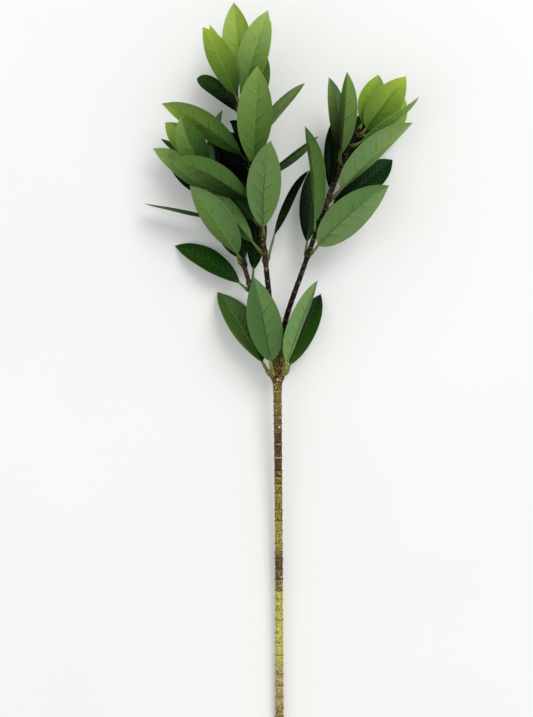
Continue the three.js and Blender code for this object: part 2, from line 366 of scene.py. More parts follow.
def bark_group():
    """Bark: a zone colour mottled with brown, streaked along the shoot and flecked with pale
    corky specks, paler on the rims and dark in the creases between them."""
    group, given, result = new_group(
        "Bark",
        {"Place": "Vector", "Zone": "Color", "Dark": "Color", "Speck": "Color",
         "Rim": "Float", "Crease": "Float", "Mottling": "Float", "Specks": "Float"},
        {"Colour": "Color", "Roughness": "Float", "Height": "Float"},
    )
    place = given["Place"]
    patches = grainy(place, 360, 4, (1, 0.6, 1))
    streaks = grainy(place, 1300, 3, (1, 0.2, 1))
    grain = grainy(place, 760, 4)
    patch = times(remap(patches, 0.44, 0.6), given["Mottling"])
    colour = blend(patch, given["Zone"], given["Dark"])
    light = times(remap(grain, 0.5, 0.64), given["Mottling"])
    colour = blend(light, colour, tinted(1.0, given["Zone"], BRIGHT_BARK))
    shade = remap(streaks, 0.36, 0.64, 0.76, 1.24)
    shade = times(shade, remap(grain, 0.36, 0.64, 0.66, 1.34))
    colour = tinted(1.0, colour, shade)
    cells = add_node(group, "TexVoronoi", {"Vector": place, "Scale": 520.0})
    chosen = add_node(group, "SeparateColor", {0: cells.outputs["Color"]}).outputs[0]
    limit = calculate("SUBTRACT", 1.0, given["Specks"])
    is_fleck = calculate("GREATER_THAN", chosen, limit)
    fleck = times(remap(cells.outputs["Distance"], 0.36, 0.18), is_fleck)
    colour = blend(fleck, colour, given["Speck"])
    pale = blend(0.65, given["Zone"], linear(*PALE_RIM))
    rim = times(given["Rim"], remap(patches, 0.72, 0.4, 0.35, 1.0))
    colour = blend(rim, colour, pale)
    height = calculate("MULTIPLY_ADD", streaks, 0.5, grain)
    feed(result, {
        "Colour": blend(times(given["Crease"], 0.75), colour, given["Dark"]),
        "Roughness": remap(streaks, 0.3, 0.7, 0.55, 0.8),
        "Height": calculate("MULTIPLY_ADD", fleck, 0.5, height),
    })
    return group


bark = bark_group()


def bark_material(name, dark, speck, specks):
    material, tree, shader = new_material(name)
    looks = add_node(tree, "Group", {
        "Place": place_on(tree), "Zone": kept(tree, "bark_colour", "Color"),
        "Dark": linear(*dark), "Speck": linear(*speck), "Specks": specks,
        **{part: kept(tree, part.lower()) for part in ("Rim", "Crease", "Mottling")},
    }, node_tree=bark).outputs
    feed(shader, {
        "Base Color": looks["Colour"], "Roughness": looks["Roughness"],
        "Specular IOR Level": 0.14, "Normal": bumped(looks["Height"], 0.6, 0.00035),
    })
    return material


def cut_wood_material():
    """Pale wet wood, finely grained, with darker stains."""
    material, tree, shader = new_material("cut_wood")
    place = place_on(tree)
    rays = grainy(place, 2200, 2, (1, 0.2, 1))
    stain = grainy(place, 420)
    rings = remap(rays, 0.35, 0.65)
    colour = blend(rings, linear(206, 196, 142), linear(178, 160, 104))
    feed(shader, {
        "Base Color": blend(remap(stain, 0.5, 0.75), colour, linear(138, 120, 72)),
        "Roughness": 0.55, "Normal": bumped(rays, 0.4, 0.0002),
    })
    return material


def cork_material():
    """Pale corky tissue that shows where the bark has split."""
    material, tree, shader = new_material("cork_fleck")
    crumbs = grainy(place_on(tree), 1600)
    crumbled = remap(crumbs, 0.35, 0.7)
    feed(shader, {
        "Base Color": blend(crumbled, linear(232, 210, 176), linear(176, 146, 104)),
        "Roughness": 0.8, "Normal": bumped(crumbs, 0.5, 0.0002),
    })
    return material


def dress(piece, materials, chosen=0):
    """Gives a piece these materials, and all its faces the chosen one."""
    for material in materials:
        piece.data.materials.append(material)
    faces = piece.data.polygons
    faces.foreach_set("material_index", [chosen] * len(faces))


def join_to(piece):
    """Makes what is selected a part of this piece."""
    piece.select_set(True)
    bpy.context.view_layer.objects.active = piece
    bpy.ops.object.join()
    bpy.ops.object.select_all(action="DESELECT")


def steps_up(table, heights):
    """The colour that a table of (reach, tone) gives at each height."""
    reaches = np.array([reach for reach, _ in table])
    places = np.searchsorted(reaches, heights).clip(max=len(table) - 1)
    return np.array([linear(*BARK_TONES[table[place][1]]) for place in places])


stem_at, stem_distances, _ = wood_line("main_stem", 5)
stem_length = stem_distances[-1]
lengths, tones, mottles, rims = (np.array(column) for column in zip(*STEM_LENGTHS[::-1]))
rows = jointed_rows(lengths / 1000)
shaft_rows = len(rows)
numbers = rows[:, 4].astype(int)
last_joint = sum(lengths) / 1000
crown = np.array(CROWN_SHAPE) / 1000
heights = np.hstack([rows[:, 0], last_joint + crown[:, 0]])
taper = np.interp(heights, *np.array(STEM_TAPER).T / 1000)
taper[:shaft_rows] *= rows[:, 1]
half_widths = np.hstack([taper[:shaft_rows], crown[:, 1]])[:, None]
half_depths = np.hstack([taper[:shaft_rows], crown[:, 2]])[:, None]
turn = tau * np.arange(STEM_SIDES) / STEM_SIDES
radii = 1 / np.hypot(np.sin(turn) / half_widths, np.cos(turn) / half_depths)
cleft = sum(
    depth * np.exp(-(((np.degrees(turn) - side) % 360 - 180) / CLEFT_SPREAD) ** 2)
    for side, depth in CROWN_CLEFTS
)
fused = ramp((heights - last_joint - CROWN_FOOT) / CLEFT_RISE)[:, None]
relief = bark_relief(heights, STEM_SIDES, STEM_GRAIN, BARK_SEED)
relief[0] = 0
radii = radii * (1 - cleft * fused) + relief * (1 + fused)
all_numbers = np.hstack([numbers, np.full(len(crown), len(lengths))])
slide = tilts(all_numbers, STEM_SIDES, BARK_SEED, JOINT_TILT, JOINT_TILT) * (1 - fused)
slide[0] = 0
shaft_colours = [linear(*BARK_TONES[tone]) for tone in tones[numbers]]
on_crown = np.zeros(len(crown))
main_stem = rolled_tube(
    "main_stem_bark", stem_at(heights), radii, slide,
    rim=np.hstack([rows[:, 2] * rims[numbers], on_crown]),
    crease=np.hstack([rows[:, 3], on_crown]),
    mottling=np.hstack([mottles[numbers], on_crown + 0.7]),
    bark_colour=np.vstack([shaft_colours, steps_up(CROWN_TONES, crown[:, 0])]),
)
stem_bark = bark_material("stem_bark", (44, 30, 16), (222, 202, 156), 0.09)
stem_finishes = (stem_bark, cut_wood_material(), cork_material())
dress(main_stem, stem_finishes)

# The cut end shows a ring of bark round pale wood, with a small sunken pith
bpy.ops.object.mode_set(mode="EDIT")
bpy.ops.mesh.select_mode(type="FACE")
bpy.ops.object.mode_set(mode="OBJECT")
ends = [face for face in main_stem.data.polygons if len(face.vertices) == STEM_SIDES]
cut_face = min(ends, key=lambda face: face.center.y)
cut_face.select = True
bpy.ops.object.mode_set(mode="EDIT")
bpy.ops.mesh.inset(thickness=BARK_RING)
bpy.ops.transform.translate(value=(0, WOOD_STEP, 0))
main_stem.active_material_index = 1
bpy.ops.object.material_slot_assign()
bpy.ops.mesh.inset(thickness=WOOD_RING)
bpy.ops.mesh.inset(thickness=PITH_RING)
bpy.ops.transform.translate(value=(0, PITH_STEP, 0))
bpy.ops.mesh.select_all(action="DESELECT")
bpy.ops.object.mode_set(mode="OBJECT")

# Corky flecks break through the bark here and there
for number, (depth, side, size) in enumerate(CORK_FLECKS):
    size = size / 1000
    fleck_height = stem_length - depth / 1000
    at = stem_at(fleck_height + np.array([-0.0005, 0.0005]))
    along = Vector(unit(at[1] - at[0]))
    across = along.cross((0, 0, 1)).normalized()
    outward = across.cross(along) * np.cos(np.radians(side)) + across * np.sin(np.radians(side))
    row = np.abs(heights - fleck_height).argmin()
    column = round((side % 360 + 180) % 360 / 360 * STEM_SIDES) % STEM_SIDES
    centre = Vector(at.mean(axis=0)) + outward * (radii[row, column] + size * 0.05)
    bpy.ops.mesh.primitive_ico_sphere_add(subdivisions=3, radius=size, location=centre)
    fleck = bpy.context.object
    bpy.ops.object.transform_apply(location=True)
    for vert in fleck.data.vertices:
        offset = vert.co - centre
        offset -= outward * (offset.dot(outward) * 0.55)
        bend = noise.noise(offset * 1400 + Vector((number * 7.0, 0, 0)))
        longer = 1 + 0.3 * abs(offset.normalized().dot(across))
        vert.co = centre + offset * (1 + 0.35 * bend) * longer
    for key in ("rim", "crease", "mottling"):
        paint(fleck, key, 0)
    dress(fleck, stem_finishes, 2)
    bpy.ops.object.shade_smooth()
    join_to(main_stem)
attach(main_stem, "root")
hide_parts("main_stem")

# ---- The three twigs -----------------
# Thinner, darker shoots that grow out of the crown. They are jointed like the stem, swell a
# little at each leaf, and are olive near the crown and where the youngest bark shows.

TWIG_SIDES = 26
TWIG_ROOT = 0.017          # how far a twig's foot runs down into the crown
TWIG_FLARE = 0.0006        # extra radius at the foot, and how far it reaches either way
FLARE_REACH = 0.022
TWIG_GAP = 0.010           # joints with no leaf stand about this far apart
LEAST_GAP = 0.004
NODE_SWELL = 0.0009        # extra radius where a leaf is attached
NODE_REACH = 0.0026
TWIG_LIMITS = (0.0026, 0.0017)     # the guide line's radius is at most this, at foot and tip
LINE_POINTS = 300
# Tones up each twig: how far up each reaches, and the tone. The dark stretches deep among the
# leaves are partly the bark's own dark colour and partly painted shade
TWIG_TONES = {
    "left": ((0.022, "olive"), (0.040, "dun"), (0.128, "sepia"), (0.300, "peat")),
    "middle": ((0.011, "dun"), (0.102, "peat"), (0.105, "olive"), (0.165, "sepia"),
               (0.300, "dark_bark_and_shade")),
    "right": ((0.024, "olive"), (0.036, "dun"), (0.175, "peat"), (0.214, "sepia"),
              (0.300, "dark_bark_and_shade")),
}
# How much stouter each twig is than its guide line
TWIG_GIRTH = {"left": 1.12, "middle": 1.24, "right": 1.20}
twig_lines = {}
twig_bark = bark_material("twig_bark", (18, 12, 8), (196, 178, 144), 0.12)
crown_heart = stem_at(np.array([last_joint + CROWN_FOOT * 0.9]))[0]
for seed, (side, tones) in enumerate(TWIG_TONES.items(), BARK_SEED + 1):
    node = f"{side}_twig"
    line_at, ring_distances, ring_radii = wood_line(node, 7)
    length = ring_distances[-1]
    limits = np.interp(ring_distances, [0, length], TWIG_LIMITS)
    ring_radii = np.minimum(ring_radii, limits) * TWIG_GIRTH[side]
    twig_lines[side] = line_at(np.linspace(0, length, LINE_POINTS))
    starts = [rings_of(leaf)[0][0] for leaf in frame["nodes"] if leaf.startswith(f"{node}_leaf")]
    nearest = [norm(twig_lines[side] - start, axis=1).argmin() for start in starts]
    joints = length * np.array(nearest) / (LINE_POINTS - 1)
    ends = [0.0]
    for joint in sorted([*joints, length]):
        gap = joint - ends[-1]
        if gap < LEAST_GAP:
            continue
        parts = max(1, round(gap / TWIG_GAP))
        ends.extend(ends[-1] + gap * np.arange(1, parts + 1) / parts)
    ends[-1] = length
    rows = jointed_rows(np.diff([-TWIG_ROOT, *ends]), 0.8)
    heights = rows[:, 0] - TWIG_ROOT
    below_tip = heights < length - 0.0004
    rows, heights = rows[below_tip], heights[below_tip]
    # Below its foot the twig bends in to the heart of the crown
    foot, ahead = line_at(np.array([0.0, 0.004]))
    back = np.clip(-heights, 0, None)[:, None] / TWIG_ROOT
    handle = foot - unit(ahead - foot) * TWIG_ROOT * 0.55
    inside = bent(foot, handle, crown_heart, back)
    centres = np.where(heights[:, None] < 0, inside, line_at(np.clip(heights, 0, None)))
    radii = np.interp(heights, ring_distances, ring_radii)
    radii = radii + TWIG_FLARE * ramp(1 - np.abs(heights) / FLARE_REACH)
    swell = np.exp(-((heights[:, None] - joints) / NODE_REACH) ** 2).max(axis=1)
    slim = np.clip((length - heights) / 0.05, 0.3, 1)
    closing = np.sqrt(np.clip((length + 0.0002 - heights) / 0.002, 0.02, 1))
    relief = bark_relief(heights, TWIG_SIDES, TWIG_GRAIN, seed)
    radii = radii * rows[:, 1] + NODE_SWELL * swell * slim
    radii = (radii * closing)[:, None] + relief
    slide = tilts(rows[:, 4], TWIG_SIDES, seed, JOINT_TILT / 2, JOINT_TILT)
    twig = rolled_tube(
        f"{node}_bark", centres, radii, slide, rim=rows[:, 2] * 0.2, crease=rows[:, 3],
        mottling=0 * heights + 0.75, bark_colour=steps_up(tones, heights),
    )
    dress(twig, [twig_bark])
    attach(twig, "root")
    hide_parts(node)

# ---- The leaves ----------------------
# Tough, thin blades on short green stalks. The upper side is dark and glossy, the under side
# pale and dull with a raised midrib, and the youngest leaves at the tips are lime green.

BLADE_THICKNESS = 0.00042
COLUMN_SPACING = 0.0010
BLADE_ROW_SPACING = 0.00095
# How fast a blade widens from its foot and narrows to its tip; the lower, the blunter
BODY_RISE, BODY_FALL = 0.8, 0.82
BLUNT_FEET = {
    "fork_leaf_1": 0.62, "right_twig_leaf_2": 0.62, "right_twig_leaf_5": 0.6,
    "right_twig_leaf_11": 0.62,
}
BLUNT_TIPS = {"middle_twig_leaf_14": 0.56}
# Leaves that lie against a neighbour, and how much their halves arch for it
ARCHES = {"middle_twig_leaf_16": -0.4, "middle_twig_leaf_18": 1.3}
# How far the halves arch, curl down at the edge, wave and crease: least and most, as shares
# of the blade's width
ARCH, CURL, WAVE, CREASE = (0.03, 0.09), (0.0, 0.07), (0.02, 0.05), (-0.05, 0.05)
TIP_NARROWING = 0.45
TIP_REACH = 0.05
VEIN_SPACING = {"upper": 0.0062, "under": 0.0135}
VEIN_WIDTH = 0.0010
VEIN_HEIGHT = 0.00034
QUILTING = 0.0003
FLOOR_GAP = 0.0002
STALK_SIDES = 12
STALK_PAD = 0.0021
STALK_WIDTH = 0.0014
STALK_ROWS = 0.0011
# The midrib's half width in millimetres on a broad leaf, at shares of its way up the blade
STALK_TAPER = ((-0.1, 0, 0.1, 0.3, 0.7, 0.97, 1), (1.3, 1.0, 0.66, 0.46, 0.32, 0.16, 0.03))
RIB_END = 0.86             # the raised midrib ends at this share of the blade
# Leaves whose midrib is broader than on the others, and how many times
WIDE_RIBS = {"right_twig_leaf_11": 1.8, "fork_leaf_1": 1.4}
# Where the fork leaves' stalks come out of the crown: millimetres across, along and up from
# its top
FORK_ROOTS = {
    "fork_leaf_1": (-4.2, -9.2, 2.6), "fork_leaf_2": (-6.0, -10.0, 0.0),
    "fork_leaf_3": (6.2, -8.8, 3.0), "fork_leaf_4": (5.8, -9.2, -1.4),
}
UNDER_SIDE, MARGIN, STALK = 1, 2, 3    # places in a leaf's list of materials
# How light the stalks are: bright at the fork, duller on the twigs, and nearly black on some
# deep in the bunch, where the darkness is painted shade
FORK_STALK, TWIG_STALK, SHADED_STALK = 1.0, 0.72, 0.12
TWIG_PAD = 0.45            # and how much darker a twig leaf's stalk is where it joins the wood
FORK_SWELLING, TWIG_SWELLING = (0.25, 0.45), (0.0, 0.30)     # of a stalk's pad, and past it
# Stalks deep among the leaves, made nearly black with painted shade
SHADED_STALKS = {
    "left_twig_leaf_3", *(f"middle_twig_leaf_{number}" for number in (5, 6, 8, 9, 10, 12, 14)),
}
# The tones of the leaves, from the darkest to the youngest; black is painted shade deep in the
# bunch
GREENS = {
    "black": (1, 9, 1), "ink": (10, 35, 5), "forest": (6, 45, 4), "holly": (31, 62, 34),
    "moss": (34, 64, 13), "ivy": (38, 72, 12), "fern": (52, 85, 29), "clover": (48, 87, 19),
    "sage": (77, 103, 55), "leek": (77, 110, 43), "pine": (79, 114, 60), "leaf": (95, 125, 67),
    "parrot": (92, 129, 16), "mist": (97, 127, 75), "apple": (110, 139, 64),
    "celadon": (113, 141, 85), "jade": (110, 147, 82), "mint": (122, 150, 75),
    "grass": (105, 161, 61), "pear": (134, 159, 67), "pistachio": (151, 180, 97),
    "lime": (161, 187, 67),
}
# The greens of the side that looks up, for each leaf of a group in turn: the left half's at
# foot and tip, then the right half's where they differ. Besides the leaves' own greens they hold
# painted light: dark feet and halves and the near-black leaves are painted shade, and the
# lighter tips of some dark leaves are painted sheen.
LEAF_GREENS_AND_PAINTED_LIGHT = {
    "fork_leaf": (
        "pine pine pine mist", "leek fern forest sage", "jade celadon celadon pine",
        "ink ink fern forest",
    ),
    "left_twig_leaf": (
        "forest ivy forest moss", "ink black forest black", "ink ink", "ink ink",
        "leek apple pine mist", "ink leek", "ink ink", "holly pistachio mint mint",
        "ivy mint forest leek", "fern moss black black", "fern fern", "clover pear", "fern leaf",
    ),
    "middle_twig_leaf": (
        "black black ink black", "fern leek pine leek", "leaf mist leaf leaf", "holly holly",
        "ink apple fern leek", "black black", "ink sage holly sage", "black black black ink",
        "leek mint fern apple", "forest lime ivy apple", "sage celadon apple apple",
        "forest ink black black", "fern leek", "black ivy", "black lime ink lime",
        "clover lime moss lime", "fern lime", "leek pistachio fern pistachio",
        "lime pistachio parrot pear",
    ),
    "right_twig_leaf": (
        "black forest holly holly", "mist pine mist celadon", "leek leek pine leek",
        "black holly ink forest", "mist celadon clover pistachio", "black forest ink ink",
        "black mint sage sage", "black parrot sage apple", "grass mint", "leek lime",
        "leek lime clover lime", "parrot lime pear pear", "moss clover ink forest",
    ),
}
LEAF_LOOKS = {
    "mature_leaf": {"under": "pine", "upper": "forest", "veins": 0.8},
    "turning_leaf": {"under": "leek", "upper": "moss", "veins": 0.6},
    "young_leaf": {"under": "pear", "upper": "parrot", "veins": 0.35},
}
# Leaves whose midrib is paler than the blade; on the others it is darker
PALE_RIBS = {
    "left_twig_leaf_5", "right_twig_leaf_3", "right_twig_leaf_5",
    *(f"middle_twig_leaf_{number}" for number in (9, 16, 18, 19)),
}


def leaf_outline(t, rise, fall):
    """Half the width of a blade as a share of its widest, at t from its foot to its tip."""
    widest = rise / (rise + fall)
    body = (t / widest) ** rise * ((1 - t) / (1 - widest)) ** fall
    return body * (1 - TIP_NARROWING * fall / BODY_FALL * np.exp((t - 1) / TIP_REACH))


def leaf_lie(node):
    """How a CAD leaf lies: its midrib and the direction across it, its width and its fold."""
    rings = rings_of(node)
    middles = [rings[0][0]]
    spans = []
    hollows = []
    for ring in rings[1:-1]:
        pairs = sorted(combinations(range(6), 2), key=lambda p: norm(ring[p[0]] - ring[p[1]]))
        one_edge = pairs[0]
        other_edge = next(pair for pair in pairs if not set(pair) & set(one_edge))
        rib = [corner for corner in range(6) if corner not in one_edge + other_edge]
        edges = [ring[list(pair)].mean(axis=0) for pair in (one_edge, other_edge)]
        middles.append(ring[rib].mean(axis=0))
        spans.append(edges[1] - edges[0])
        hollows.append((edges[0] + edges[1]) / 2 - middles[-1])
    middles = np.array([*middles, rings[-1][0]])
    distances = distances_along(middles)
    # The first ring lies in the plane of the end point, so one of the two is enough
    keep = np.hstack([[True], np.diff(distances) > 1e-6])
    forward = unit(np.gradient(middles[keep], distances[keep], axis=0)[-len(spans) - 1:-1])
    spans = np.array(spans)
    spans = spans * np.sign((spans * np.cross(forward, (0, 0, 1))).sum(axis=1))[:, None]
    over = np.cross(unit(spans), forward)
    rises = (np.array(hollows) * over).sum(axis=1)
    halves = np.hypot(norm(spans, axis=1) / 2, rises)
    widest = halves.argmax()
    return SimpleNamespace(
        length=distances[-1],
        foot=distances[3],
        middle=smooth(distances[keep], middles[keep], 4),
        across=smooth(distances[1:-1], unit(spans), 3),
        half_width=halves[widest],
        fold=np.arcsin(abs(rises[widest]) / halves[widest]),
        opening=np.sign(rises[widest]),
    )


def leaf_frame(lie, distances):
    """Points of the midrib, and the directions along, across and out of the upper side."""
    middles = lie.middle(distances)
    along = unit(lie.middle(distances + 0.0005) - lie.middle(distances - 0.0005))
    across = lie.across(distances)
    across = unit(across - (across * along).sum(axis=1, keepdims=True) * along)
    above = np.cross(across, along)
    return middles, along, across * lie.opening, above * lie.opening


def blend_greens(names, from_left, t):
    """The colours of a blade whose halves go from one green at the foot to another at the tip."""
    foot_left, tip_left, foot_right, tip_right = (np.array(linear(*GREENS[n])) for n in names)
    t = t[..., None]
    from_left = from_left[..., None]
    left = np.sqrt(foot_left) * (1 - t) + np.sqrt(tip_left) * t
    right = np.sqrt(foot_right) * (1 - t) + np.sqrt(tip_right) * t
    return (left * from_left + right * (1 - from_left)) ** 2


def leaf_blade(node, lie, facing, greens, veins_show, draw):
    """The blade: a grid drawn out to the leaf's outline, folded, arched, veined and waved."""
    blade_length = lie.length - lie.foot
    half_width = lie.half_width
    columns = 2 * round(half_width / COLUMN_SPACING)
    row_count = round(blade_length / BLADE_ROW_SPACING)
    bpy.ops.mesh.primitive_grid_add(x_subdivisions=columns, y_subdivisions=row_count)
    blade = bpy.context.object
    blade.name = f"{node}_blade"
    x = np.linspace(-1, 1, columns + 1)[None, :]
    even = np.linspace(0, 1, row_count + 1)[:, None]
    t = 0.75 * even + 0.25 * (0.5 - 0.5 * np.cos(np.pi * even))
    outline = leaf_outline(t, BLUNT_FEET.get(node, BODY_RISE), BLUNT_TIPS.get(node, BODY_FALL))
    width = np.maximum(half_width * outline, 0.0009 * (1 - t) + 0.00012)
    from_rib = np.abs(x) * width
    share = np.abs(x) + 0 * t
    distance = lie.foot + t * blade_length

    # Side veins leave the midrib at an angle and curve towards the tip; some hardly show
    climb = 0.80 * from_rib + 0.22 * from_rib ** 2 / half_width
    veins_apart = VEIN_SPACING[facing] * draw(0.9, 1.1) * (0.55 + 0.45 * blade_length / 0.085)
    offset = np.where(x > 0, draw(0.3, 0.6), 0) + draw(0, 1)
    vein = (t * blade_length - climb) / veins_apart + offset
    vein = vein + 0.12 * np.sin(2.1 * vein + draw(0, 6))
    number = np.round(vein).astype(int)
    off_vein = np.abs(vein - number) * veins_apart * 0.75
    vein_of = ((x > 0) + 0 * number, number % 40)
    strength = draw(0.25, 1.0, (2, 40))[vein_of]
    reach = draw(0.5, 0.8, (2, 40))[vein_of]
    strength = strength * ramp((reach - share) / 0.28) * ramp((0.90 - t) / 0.12)
    ridge = np.exp(-(off_vein / VEIN_WIDTH) ** 2) * strength * ramp(share / 0.08)
    quilt = (0.5 - 0.5 * np.cos(tau * vein)) * ramp((1 - share) / 0.5)
    quilt = quilt * ramp(share / 0.15) * ramp((0.95 - t) / 0.2)

    fold = lie.fold * (1 - 0.12 * t)
    arch = draw(*ARCH) * width * 4 * share * (1 - share) * ARCHES.get(node, 1)
    curl = draw(*CURL) * width * share ** 5
    swing = np.sin(tau * draw(1.0, 1.9) * t + draw(0, 6) + 1.5 * (x > 0))
    wave = draw(*WAVE) * half_width * swing * share ** 2 * np.sin(np.pi * t)
    crease = draw(*CREASE) * half_width * np.sin(np.pi * share) * np.sin(np.pi * t)
    height = np.sin(fold) * np.hypot(from_rib, 0.0007) + arch - curl + wave + crease * np.sign(x)
    height = height - VEIN_HEIGHT * veins_show * ridge + QUILTING * veins_show * quilt
    sideways = x * width * np.cos(fold)

    middles, _, across, above = leaf_frame(lie, distance[:, 0])
    points = middles[:, None] + across[:, None] * sideways[..., None]
    points = points + above[:, None] * height[..., None]
    points[..., 2] = np.maximum(points[..., 2], FLOOR_GAP + BLADE_THICKNESS)
    blade.data.vertices.foreach_set("co", points.astype(np.float32).ravel())
    for key, values in {
        "vein": vein, "vein_strength": strength, "up_blade": t + 0 * x,
        "from_rib": from_rib * 1000 / WIDE_RIBS.get(node, 1),
        "from_edge": (width - from_rib) * 1000,
    }.items():
        paint(blade, key, values)
    from_left = ramp(0.5 - x * lie.opening * 6) + 0 * t
    for side, names in greens.items():
        green = blend_greens(names, from_left, t + 0 * x)
        paint(blade, f"{side}_green", green)
        if side == facing:
            paint(blade, "edge_green", green)
    return blade


def leaf_stalk(node, lie, root, collar, stoutness):
    """The stalk and the midrib: a tapering tube from the twig along the blade's under side."""
    rib_end = lie.foot + RIB_END * (lie.length - lie.foot)
    joined = min(0.4 * lie.foot, 0.005)
    distances = np.linspace(joined, rib_end, round((rib_end - joined) / STALK_ROWS))
    middles, along, _, above = leaf_frame(lie, distances)
    in_blade = ramp((distances - lie.foot + 0.002) / 0.004)
    up_blade = (distances - lie.foot) / (rib_end - lie.foot)
    size = lie.half_width / 0.018
    slim = np.interp(up_blade, *STALK_TAPER)
    radius = slim * (0.45 + 0.55 * size) / 1000
    centres = middles - above * (in_blade * radius * 0.6)[:, None]
    # From the twig it bends out into the line of the leaf
    away = norm(centres[0] - root)
    handle = centres[0] - along[0] * away * 0.5
    u = np.linspace(0, 1, 12)[:-1]
    pad = STALK_PAD * (1 + collar)
    thick = np.interp(u, (0, 0.3, 0.45, 0.75, 1), (STALK_PAD, pad, pad, STALK_WIDTH, radius[0]))
    radius = np.hstack([thick, radius])
    centres = np.vstack([bent(root, handle, centres[0], u[:, None]), centres])
    lumps = np.array([noise.noise(Vector(centre) * 900) for centre in centres])
    on_stalk = np.hstack([0 * u + 1, 1 - in_blade])
    past_pad = np.hstack([np.interp(u, (0.4, 0.7), (0, 1)), 1 - in_blade])
    radius = radius * (1 + 0.16 * lumps * on_stalk) * (1 + stoutness * past_pad)
    return rolled_tube(
        f"{node}_stalk", centres, np.repeat(radius[:, None], STALK_SIDES, axis=1),
        up_stalk=np.hstack([u * 0.5, 0.5 + 0.5 * ramp(up_blade + 1)]),
        up_blade=np.hstack([0 * u, ramp(up_blade)]),
    )


# Where a point of a blade lies, painted on the mesh for the groups that draw its lines
BLADE_PLACES = ("vein", "vein_strength", "from_rib", "from_edge", "up_blade")


def leaf_groups():
    """The two effects the leaf materials share: side veins and mottled, dappled green."""
    veins, given, result = new_group(
        "Leaf veins",
        {"Place": "Vector", **dict.fromkeys(BLADE_PLACES, "Float")},
        dict.fromkeys(("Side veins", "Painted light by veins", "Midrib", "Rim", "Net"), "Float"),
    )
    from_rib = given["from_rib"]
    wander = remap(grainy(given["Place"], 220, 2), 0.0, 1.0, -0.06, 0.06)
    phase = calculate("ADD", given["vein"], wander)
    signed = calculate("WRAP", phase, 0.5, -0.5)
    off = calculate("ABSOLUTE", signed)
    off = times(off, remap(from_rib, 0.0, 12.0, 0.7, 1.5))
    line = times(remap(off, 0.085, 0.03), given["vein_strength"])
    # A band on one side of each vein, where the materials paint the light and shade of its relief
    beside = times(remap(signed, 0.02, 0.09), remap(signed, 0.26, 0.10))
    cells = add_node(
        veins, "TexVoronoi", {"Vector": given["Place"], "Scale": 620.0},
        feature="DISTANCE_TO_EDGE",
    )
    fading = remap(given["up_blade"], 0.9, 0.6)
    feed(result, {
        "Side veins": times(line, remap(from_rib, 0.2, 1.2)),
        "Painted light by veins": times(beside, given["vein_strength"]),
        "Midrib": times(remap(from_rib, 0.9, 0.3), fading),
        "Rim": remap(given["from_edge"], 0.6, 0.2),
        "Net": remap(cells.outputs[0], 0.12, 0.0),
    })

    dapple, given, result = new_group(
        "Leaf dapple",
        {"Place": "Vector", "Green": "Color", "Cool": "Color", "Warm": "Color"},
        {"Colour": "Color", "Fine": "Float"},
    )
    broad = remap(grainy(given["Place"], 42), 0.36, 0.64)
    fine = remap(grainy(given["Place"], 620, 4), 0.3, 0.7)
    tint = blend(broad, given["Cool"], given["Warm"])
    colour = tinted(1.0, given["Green"], tint)
    shade = remap(fine, 0, 1, 0.94, 1.06)
    feed(result, {"Colour": tinted(1.0, colour, shade), "Fine": fine})
    return veins, dapple


leaf_veins, leaf_dapple = leaf_groups()
# How much lighter or darker than the green next to them the lines of a leaf are, and how much
# cooler or warmer the green is in places. The band on one side of each vein is painted light: a
# painted highlight on the under side, painted shade on the upper side. The dark vein lines and
# the darker midrib of the under side are partly painted shade along the raised veins and rib,
# and the paler rim is partly a painted highlight along the edge.
SIDE_TINTS = {
    "under": {"vein": (0.50, 0.62, 0.46, 1), "beside": (1.22, 1.16, 1.20, 1),
              "rib": (0.55, 0.66, 0.48, 1), "pale_rib": (1.45, 1.30, 1.45, 1),
              "rim": (1.4, 1.25, 1.3, 1), "cool": (0.94, 0.99, 1.06, 1),
              "warm": (1.06, 1.02, 0.92, 1)},
    "upper": {"vein": (2.0, 1.55, 1.75, 1), "beside": (0.8, 0.85, 0.8, 1),
              "rib": (3.4, 2.2, 3.0, 1), "pale_rib": (3.8, 2.6, 3.4, 1),
              "rim": (1.7, 1.35, 1.4, 1), "cool": (0.86, 0.98, 1.12, 1),
              "warm": (1.15, 1.06, 0.88, 1)},
}
# How strongly each side shows its veins, the painted light next to them, its midrib and its rim,
# how far its veins and its net stand out, and its roughness and sheen
SIDE_LOOKS = {
    "under": {"vein": 0.9, "beside": 0.9, "rib": 0.7, "rim": 0.6, "raised": 1.0, "net": 0.1,
              "rough": (0.5, 0.64), "sheen": 0.12},
    "upper": {"vein": 0.8, "beside": 0.7, "rib": 0.7, "rim": 0.4, "raised": -0.8, "net": -0.1,
              "rough": (0.34, 0.46), "sheen": 0.06},
}


# Midrib tint: pale ribs show their own colour; dark under-side ribs are partly painted shade
def rib_tint(tree, side):
    tints = SIDE_TINTS[side]
    return blend(kept(tree, "pale_rib"), tints["rib"], tints["pale_rib"])


